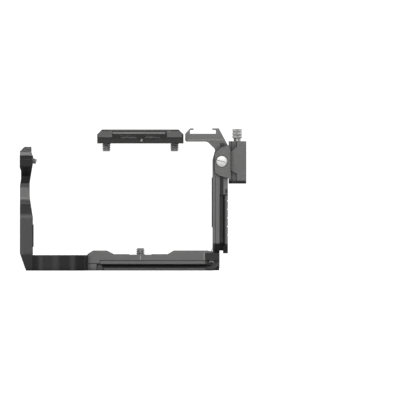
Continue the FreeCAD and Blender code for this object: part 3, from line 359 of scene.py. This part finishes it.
def screw_points(size, head):
    """A whole screw on its Z axis, threaded end up: rows of radius against height, with the thread
    wave taken off the shank's radius and both ends drawn in to a point on the axis."""
    shank, root, thread, pitch = size.length, size.neck_length, size.radius, size.pitch
    depth = THREAD_DEPTH * pitch
    wide, tall = head
    profile = [(AXIS_RADIUS, -tall)]
    profile += [(wide + out, -tall + up) for out, up in HEAD_CROWN]
    profile += [(wide + out, up) for out, up in HEAD_SHOULDER]
    profile += [(size.neck, 0.0), (size.neck, root)]
    rows = max(FEWEST_ROWS, int((shank - root) / pitch * ROWS_PER_TURN))
    turns = np.linspace(root + THREAD_START, shank, rows)
    radii = np.array([r for r, z in profile] + [thread] * len(turns) + [AXIS_RADIUS])
    heights = np.array([z for r, z in profile] + list(turns) + [shank])
    first = len(profile)

    def radius_at(a, row, z):
        base = np.broadcast_to(radii[:, None], z.shape).copy()
        cut = depth * (1.0 - thread_wave(a, z, pitch))
        lead = np.clip((shank - z) / (pitch * LEAD_IN), 0.0, 1.0)
        threaded = (row >= first) & (row < len(radii) - 1)
        tip = thread - depth - LEAD_DROP
        tapered = np.minimum(thread - cut, tip + lead * (depth + LEAD_DROP))
        return np.where(threaded, tapered, base)

    return round_surface(radius_at, heights, SCREW_COLUMNS)


def cut_slot(piece, slot, head_height, turn):
    """Cut the driver slot out of a screw's head with a Boolean, and keep the result as its mesh."""
    half_length, half_width, depth = slot
    low = (-half_length, -half_width, -head_height - SLOT_CLEARANCE)
    high = (half_length, half_width, -head_height + depth)
    corners = np.array([[x, y, z] for z in (low[2], high[2]) for y in (low[1], high[1])
                        for x in (low[0], high[0])])
    c, s = math.cos(turn), math.sin(turn)
    spun = corners @ np.array([[c, s, 0.0], [-s, c, 0.0], [0.0, 0.0, 1.0]])
    quads = np.array([[0, 2, 3, 1], [4, 5, 7, 6], [0, 1, 5, 4],
                      [2, 6, 7, 3], [0, 4, 6, 2], [1, 3, 7, 5]])
    cutter = mesh_from("slot_cutter", spun, quads)
    boolean = piece.modifiers.new("slot", "BOOLEAN")
    boolean.operation = "DIFFERENCE"
    boolean.solver = "EXACT"
    boolean.object = cutter
    bake_modifiers(piece)
    bpy.data.objects.remove(cutter)


def bake_modifiers(piece):
    """Replace a piece's mesh with what its modifiers make of it."""
    depsgraph = bpy.context.evaluated_depsgraph_get()
    mesh = bpy.data.meshes.new_from_object(piece.evaluated_get(depsgraph))
    piece.modifiers.clear()
    piece.data = mesh


def close_ends(piece):
    """Merge the rings that were drawn in to the axis, and drop what they leave without area."""
    mesh = bmesh.new()
    mesh.from_mesh(piece.data)
    bmesh.ops.remove_doubles(mesh, verts=mesh.verts, dist=MERGE_DISTANCE)
    bmesh.ops.dissolve_degenerate(mesh, edges=mesh.edges, dist=FLAT_EDGE)
    bmesh.ops.holes_fill(mesh, edges=mesh.edges)
    bmesh.ops.recalc_face_normals(mesh, faces=mesh.faces)
    mesh.to_mesh(piece.data)
    mesh.free()


def seat_piece(piece, matrix, node, slot):
    """Bake a millimetre mesh into place in metres, and let it ride and show for its CAD node."""
    body = node + "_body"
    piece.data.transform(matrix @ Matrix.Scale(MM, 4))
    piece.data.materials.clear()
    piece.data.materials.append(bpy.data.materials[slot])
    piece.data.shade_smooth()
    piece.data.set_sharp_from_angle(angle=math.radians(SMOOTH_ANGLE))
    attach(piece, body)
    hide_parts(node)


def node_middle(node):
    """Middle of a node's box at rest, in metres."""
    low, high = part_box(node)
    return (Vector(low) + Vector(high)) / 2


# Sizes and colours that a user would change

class ThreadSettings(bpy.types.PropertyGroup):
    """Form of a screw, in millimetres."""
    radius: bpy.props.FloatProperty(name="Thread radius", description="Outer radius of the thread, mm",
                                    default=3.175, min=0.5)
    neck: bpy.props.FloatProperty(name="Neck radius", description="Radius of the plain neck, mm",
                                  default=2.575, min=0.3)
    neck_length: bpy.props.FloatProperty(name="Neck length",
                                         description="Height of the thread's root, mm",
                                         default=6.15, min=0.1)
    length: bpy.props.FloatProperty(name="Length", description="Height of the tip above the head, mm",
                                    default=11.45, min=1.0)
    pitch: bpy.props.FloatProperty(name="Pitch", description="Pitch of the thread, mm", default=1.27,
                                   min=0.2)


class FinishSettings(bpy.types.PropertyGroup):
    """Colours of the finishes."""
    alloy: bpy.props.FloatVectorProperty(name="Alloy", description="Anodised alloy of the cage",
                                         subtype="COLOR", default=(0.084, 0.084, 0.083), min=0, max=1)
    alloy_edge: bpy.props.FloatVectorProperty(name="Alloy edge", description="Edges of the alloy",
                                              subtype="COLOR", default=(0.15, 0.15, 0.148), min=0, max=1)
    steel: bpy.props.FloatVectorProperty(name="Steel", description="Grey plated steel screws",
                                         subtype="COLOR", default=(0.42, 0.42, 0.42), min=0, max=1)
    bright: bpy.props.FloatVectorProperty(name="Bright steel", description="Turned bright steel",
                                          subtype="COLOR", default=(0.5, 0.5, 0.495), min=0, max=1)
    rubber: bpy.props.FloatVectorProperty(name="Rubber", description="Pads", subtype="COLOR",
                                          default=(0.018, 0.018, 0.018), min=0, max=1)


class StudioSettings(bpy.types.PropertyGroup):
    """Light and backdrop."""
    key_power: bpy.props.FloatProperty(name="Front light", description="Power of the front softbox",
                                       subtype="POWER", default=22.0, min=0)
    top_power: bpy.props.FloatProperty(name="Top light", description="Power of the overhead softbox",
                                       subtype="POWER", default=7.0, min=0)
    side_power: bpy.props.FloatProperty(name="Side light", description="Power of each side softbox",
                                        subtype="POWER", default=12.0, min=0)
    floor: bpy.props.FloatVectorProperty(name="Floor", description="Pale floor", subtype="COLOR",
                                         default=(0.92, 0.92, 0.92), min=0, max=1)


# Painted light and shade on single faces, as boxes with a colour factor: painted shade in grooves, at seams, under
# overhangs and on faces that turn away, and painted highlights on faces that catch the light
ALLOY_PAINTED_LIGHT = (
    # painted shadow lines at the seams beside the dovetail
    ((-29.5, -20.5, 7.0), (58.0, -18.2, 7.6), 0.12),     # seam above the dovetail
    ((-38.6, -20.5, 4.9), (-29.0, -18.2, 5.5), 0.12),    # seam of the step beside the dovetail
    ((-29.5, -20.5, 4.9), (-28.9, -18.2, 7.6), 0.12),    # upright part of that seam
    ((-38.8, -30.0, 0.0), (-38.1, -18.0, 11.4), 0.15),   # end of the grip's base
    ((46.6, -21.0, 7.5), (58.0, -16.0, 12.9), 0.08),     # dark right corner of the base
    ((45.5, -20.5, 7.7), (46.6, -18.2, 13.5), 1.6),      # light edge beside that corner
    # painted highlight at the camera screw
    ((-0.2, -20.5, 8.0), (0.25, -18.2, 10.9), 3.2),      # tick at the camera screw
    ((57.4, -29.0, 8.0), (59.9, -6.0, 66.5), 0.14),      # neck between column and rail
    ((53.8, -28.5, 12.0), (54.4, -26.0, 68.0), 0.3),     # line down the column
    ((-87.5, -45.0, 63.0), (-77.0, -8.0, 90.0), 0.1),    # head of the grip arm
    ((-87.5, -45.0, 0.5), (-77.0, -8.0, 48.0), 0.4),     # lower grip arm
    ((-77.7, -45.0, 0.0), (-38.8, -20.0, 11.5), 0.17),   # base of the grip
    # painted highlights on the top plate's bevel strips, ends and slits
    ((-20.0, -40.0, 98.7), (17.8, -34.0, 99.9), 6.0),    # top plate: long strip
    ((-30.4, -40.0, 96.2), (-20.4, -28.0, 100.6), 5.0),  # top plate: left end
    ((19.3, -40.0, 96.2), (29.9, -28.0, 100.6), 5.0),    # top plate: right end
    ((-14.3, -40.0, 95.9), (-2.8, -34.0, 97.3), 9.0),    # top plate: left slit
    ((2.8, -40.0, 95.9), (14.3, -34.0, 97.3), 9.0),      # top plate: right slit
    ((31.8, -28.0, 94.2), (60.0, -20.0, 103.0), 2.4),    # front of the shoe arm
    ((59.9, -28.0, 8.0), (63.3, -25.3, 54.4), 0.95),     # bevel of the rail
    ((63.4, -31.0, 62.0), (76.0, -22.0, 65.0), 0.05),    # lower band of the clamp
    ((53.4, -32.0, 12.9), (63.6, -15.0, 19.6), 0.1),     # foot of the column
    ((-31.5, -40.0, 94.5), (31.0, -33.0, 100.7), 0.4),   # top plate: front
    ((57.2, -28.2, 54.5), (63.3, -16.0, 55.3), 0.12),    # line above the rail
    ((61.1, -28.2, 55.9), (63.3, -26.0, 58.9), 0.12),    # notch above the rail
    ((57.4, -28.2, 88.6), (60.6, -20.0, 92.0), 0.25),    # pocket at the clamp's top
    ((-87.5, -45.0, 49.5), (-77.0, -8.0, 60.5), 1.1),    # saddle of the grip arm
    ((-87.5, -45.0, 38.5), (-77.0, -8.0, 49.5), 1.2),    # slope below the saddle
)
# Painted shade on the locating pin, which sits in shadow under the rail
STEEL_PAINTED_SHADE = (((-0.4, -33.0, 92.9), (2.2, -26.0, 95.5), 0.45),)    # locating pin


class CAGE_OT_finishes(bpy.types.Operator):
    """Make the finishes and put them on the machined pieces."""
    bl_idname = "cage.finishes"
    bl_label = "Finishes"

    def execute(self, context):
        colours = context.scene.cage_finish
        fine_grain_group()
        edge_wear_and_highlight_group()
        box_mask_group()
        finish_material("black_alloy", colours.alloy, colours.alloy_edge, metallic=0.5, rough=0.42,
                        grain=9000.0, wear_and_highlight=0.5, bump=0.08, radius=0.0003, painted_light_boxes=ALLOY_PAINTED_LIGHT)
        finish_material("grey_steel", colours.steel, (0.5, 0.5, 0.5), metallic=0.45, rough=0.42,
                        grain=12000.0, wear_and_highlight=0.4, bump=0.05, radius=0.0001, painted_light_boxes=STEEL_PAINTED_SHADE,
                        groove_shade_power=PALE_SCREW_GROOVE_SHADE_POWER)
        finish_material("bright_steel", colours.bright, (0.85, 0.85, 0.85), metallic=0.6, rough=0.42,
                        grain=7000.0, wear_and_highlight=0.3, bump=0.05, radius=0.00012,
                        groove_shade_power=PALE_SCREW_GROOVE_SHADE_POWER)
        finish_material("dark_steel", (0.05, 0.05, 0.05), (0.2, 0.2, 0.2), metallic=0.9, rough=0.4,
                        grain=9000.0, wear_and_highlight=0.5, bump=0.2, radius=0.0001)
        finish_material("magnet", (0.55, 0.55, 0.57), (0.8, 0.8, 0.8), metallic=1.0, rough=0.2,
                        grain=5000.0, wear_and_highlight=0.3, bump=0.1, radius=0.0001)
        finish_material("pad_rubber", colours.rubber, (0.05, 0.05, 0.05), metallic=0.0, rough=0.75,
                        grain=6000.0, wear_and_highlight=0.2, bump=0.5, radius=0.0002)
        slots = {part["node"]: part["material_slot"] for part in frame["record"]["subparts"]}
        for name, node in frame["nodes"].items():
            node.data.materials.clear()
            node.data.materials.append(bpy.data.materials[slots[name]])
        return {"FINISHED"}


def add_screw(node, size, shape, matrix, slot, turn=0.0):
    """Replace a plain screw by one with its thread, chamfers and driver slot."""
    points, quads = screw_points(size, shape["head"])
    piece = mesh_from(node + "_threaded", points, quads)
    close_ends(piece)
    cut_slot(piece, shape["slot"], shape["head"][1], turn)
    seat_piece(piece, matrix, node, slot)


def set_size(context, **values):
    """The scene's thread settings with some values changed."""
    size = context.scene.cage_thread
    for label, value in values.items():
        setattr(size, label, value)
    return size


class CAGE_OT_quarter_inch_screws(bpy.types.Operator):
    """Camera screw and the two screws of the top plate, with their quarter-inch threads."""
    bl_idname = "cage.quarter_inch_screws"
    bl_label = "Quarter-inch screws"

    def execute(self, context):
        low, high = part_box("camera_screw")
        head = CAMERA_SCREW["head"][1]
        length = (high[2] - low[2]) / MM - head
        size = set_size(context, neck_length=length - CAMERA_SCREW_THREAD, length=length,
                        **QUARTER_INCH)
        place = Matrix.Translation((0, 0, low[2] + head * MM))
        add_screw("camera_screw", size, CAMERA_SCREW, place, "grey_steel")
        head = TOP_SCREW["head"][1]
        turn = Matrix.Rotation(math.pi, 4, "X")
        for node in ("top_plate_screw_left", "top_plate_screw_right"):
            low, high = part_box(node)
            length = (high[2] - low[2]) / MM - head
            size = set_size(context, neck_length=length - TOP_SCREW_THREAD, length=length,
                            **QUARTER_INCH)
            middle = node_middle(node)
            place = Matrix.Translation((middle.x, middle.y, high[2] - head * MM)) @ turn
            add_screw(node, size, TOP_SCREW, place, "grey_steel")
        return {"FINISHED"}


class CAGE_OT_lock_screw(bpy.types.Operator):
    """Screw through the head of the grip arm, on its joint's own axis."""
    bl_idname = "cage.lock_screw"
    bl_label = "Grip lock screw"

    def execute(self, context):
        joint = [j for j in frame["joints"] if j["name"] == "grip_lock_screw_turn"][0]
        size = set_size(context, **LOCK_SCREW_SHANK)
        turn = Vector(joint["axis"]).to_track_quat("Z", "X").to_matrix().to_4x4()
        place = Matrix.Translation(Vector(joint["pos_m"])) @ turn
        add_screw("grip_lock_screw", size, LOCK_SCREW, place, "grey_steel")
        return {"FINISHED"}


class CAGE_OT_clamp_screw(bpy.types.Operator):
    """Large slotted screw of the clamp's front plate."""
    bl_idname = "cage.clamp_screw"
    bl_label = "Clamp screw"

    def execute(self, context):
        low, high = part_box("clamp_mount_screw")
        middle = node_middle("clamp_mount_screw")
        size = set_size(context, **CLAMP_SCREW_SHANK)
        turn = Matrix.Rotation(-math.pi / 2, 4, "X")
        seat = low[1] + CLAMP_SCREW["head"][1] * MM
        place = Matrix.Translation((middle.x, seat, middle.z)) @ turn
        add_screw("clamp_mount_screw", size, CLAMP_SCREW, place, "bright_steel", CLAMP_SLOT_TURN)
        return {"FINISHED"}


def knurl_radius(a, grip):
    """Straight knurl: the radius falls by the knurl's depth between teeth, along a rounded wave of
    the angle, grip - depth (1 - |cos(teeth a / 2)| ^ roundness)."""
    wave = np.abs(np.cos(a * KNURL_TEETH / 2.0))
    return grip - KNURL_DEPTH * (1.0 - wave ** KNURL_ROUNDNESS)


class CAGE_OT_thumb_screw(bpy.types.Operator):
    """Bright thumb screw: knurled grip in three bands, collar and shank."""
    bl_idname = "cage.thumb_screw"
    bl_label = "Thumb screw"

    def execute(self, context):
        low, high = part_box("clamp_thumb_screw")
        middle = node_middle("clamp_thumb_screw")
        top = (high[2] - low[2]) / MM
        grip = (high[0] - low[0]) / MM / 2
        bottom = top - THUMB_HEAD_HEIGHT
        neck = bottom + THUMB_COLLAR_HEIGHT
        collar = grip - THUMB_COLLAR_INSET
        rows = [*THUMB_SHANK, (THUMB_SHANK_RADIUS, bottom + THUMB_HEAD_LIFT),
                (collar, bottom + THUMB_HEAD_LIFT), (collar, neck),
                (grip + THUMB_STEP[0], neck + THUMB_STEP[1])]
        band = (top - neck) / BAND_COUNT
        knurled = []
        for index in range(BAND_COUNT):
            foot = neck + band * index
            knurled += [(grip + out, foot + up) for out, up in BAND_FOOT]
            knurled += [(grip + out, foot + band + up) for out, up in BAND_TOP]
        cap = [(grip - CAP_INSET, top - CAP_DROP), (grip * CAP_SHARE, top), (AXIS_RADIUS, top)]
        radii = np.array([r for r, z in rows + knurled + cap])
        heights = np.array([z for r, z in rows + knurled + cap])
        first, last = len(rows), len(rows) + len(knurled)

        def radius_at(a, row, z):
            base = np.broadcast_to(radii[:, None], z.shape)
            ribbed = (row >= first) & (row < last)
            return np.where(ribbed, knurl_radius(a, base), base)

        points, quads = round_surface(radius_at, heights, KNURL_COLUMNS)
        piece = mesh_from("clamp_thumb_screw_knurled", points, quads)
        close_ends(piece)
        place = Matrix.Translation((middle.x, middle.y, low[2]))
        seat_piece(piece, place, "clamp_thumb_screw", "bright_steel")
        return {"FINISHED"}


class CAGE_OT_studio(bpy.types.Operator):
    """Pale floor, softboxes and the camera at the photograph's front view."""
    bl_idname = "cage.studio"
    bl_label = "Studio"

    def execute(self, context):
        studio = context.scene.cage_studio
        side = FLOOR_HALF_SIDE
        points = np.array([[-side, -side, 0], [side, -side, 0], [side, side, 0], [-side, side, 0]])
        floor = mesh_from("studio_floor", points, np.array([[0, 1, 2, 3]]))
        paint = bpy.data.materials.new("studio_floor")
        paint.use_nodes = True
        tree = paint.node_tree
        shader = tree.nodes["Principled BSDF"]
        shader.inputs["Base Color"].default_value = (*studio.floor, 1.0)
        shader.inputs["Roughness"].default_value = FLOOR_ROUGHNESS
        shader.inputs["Emission Color"].default_value = (1.0, 1.0, 1.0, 1.0)
        seen = tree.nodes.new("ShaderNodeLightPath")
        tree.links.new(seen.outputs["Is Camera Ray"], shader.inputs["Emission Strength"])
        floor.data.materials.append(paint)
        centre = Vector((PICTURE_CENTRE[0] * MM, 0.0, PICTURE_CENTRE[1] * MM))
        for name, spot, size, power in SOFTBOXES:
            lamp = bpy.data.lights.new(name, "AREA")
            lamp.shape = "RECTANGLE"
            lamp.size, lamp.size_y = size
            lamp.energy = getattr(studio, power)
            holder = bpy.data.objects.new(name, lamp)
            context.scene.collection.objects.link(holder)
            holder.location = spot
            holder.rotation_euler = (centre - Vector(spot)).to_track_quat("-Z", "Y").to_euler()
        world = bpy.data.worlds.new("studio")
        world.use_nodes = True
        tree = world.node_tree
        sky = tree.nodes["Background"]
        sky.inputs["Color"].default_value = (1, 1, 1, 1)
        rays = tree.nodes.new("ShaderNodeLightPath")
        level = math_node(tree, "MULTIPLY_ADD", rays.outputs["Is Camera Ray"], 1.0)
        level.node.inputs[2].default_value = WORLD_LEVEL
        tree.links.new(level, sky.inputs["Strength"])
        context.scene.world = world
        lens = bpy.data.cameras.new("photo_camera")
        lens.sensor_width = SENSOR
        lens.lens = SENSOR * CAMERA_DISTANCE / (MM_PER_PIXEL * PICTURE_SIDE * MM)
        lens.clip_end = CAMERA_CLIP_END
        camera = bpy.data.objects.new("photo_camera", lens)
        context.scene.collection.objects.link(camera)
        camera.location = centre - Vector((0.0, CAMERA_DISTANCE, 0.0))
        camera.rotation_euler = (math.pi / 2, 0.0, 0.0)
        context.scene.camera = camera
        context.scene.view_settings.view_transform = "Standard"
        return {"FINISHED"}


class CAGE_PT_panel(bpy.types.Panel):
    """Shows a button for each step that dresses the cage."""
    bl_idname = "CAGE_PT_panel"
    bl_label = "Camera cage"
    bl_space_type = "VIEW_3D"
    bl_region_type = "UI"
    bl_category = "Cage"

    def draw(self, context):
        for operator in OPERATORS:
            self.layout.operator(operator.bl_idname)


OPERATORS = (CAGE_OT_finishes, CAGE_OT_quarter_inch_screws, CAGE_OT_lock_screw, CAGE_OT_clamp_screw,
             CAGE_OT_thumb_screw, CAGE_OT_studio)
SETTINGS = (("cage_thread", ThreadSettings), ("cage_finish", FinishSettings),
            ("cage_studio", StudioSettings))


def register():
    for name, group in SETTINGS:
        bpy.utils.register_class(group)
        setattr(bpy.types.Scene, name, bpy.props.PointerProperty(type=group))
    for operator in OPERATORS:
        bpy.utils.register_class(operator)
    bpy.utils.register_class(CAGE_PT_panel)


def unregister():
    bpy.utils.unregister_class(CAGE_PT_panel)
    for operator in reversed(OPERATORS):
        bpy.utils.unregister_class(operator)
    for name, group in reversed(SETTINGS):
        delattr(bpy.types.Scene, name)
        bpy.utils.unregister_class(group)


def main():
    """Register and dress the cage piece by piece."""
    register()
    for operator in OPERATORS:
        family, name = operator.bl_idname.split(".")
        if "FINISHED" not in getattr(getattr(bpy.ops, family), name)():
            raise RuntimeError(f"{operator.bl_label} did not finish")


if __name__ == "__main__":
    main()
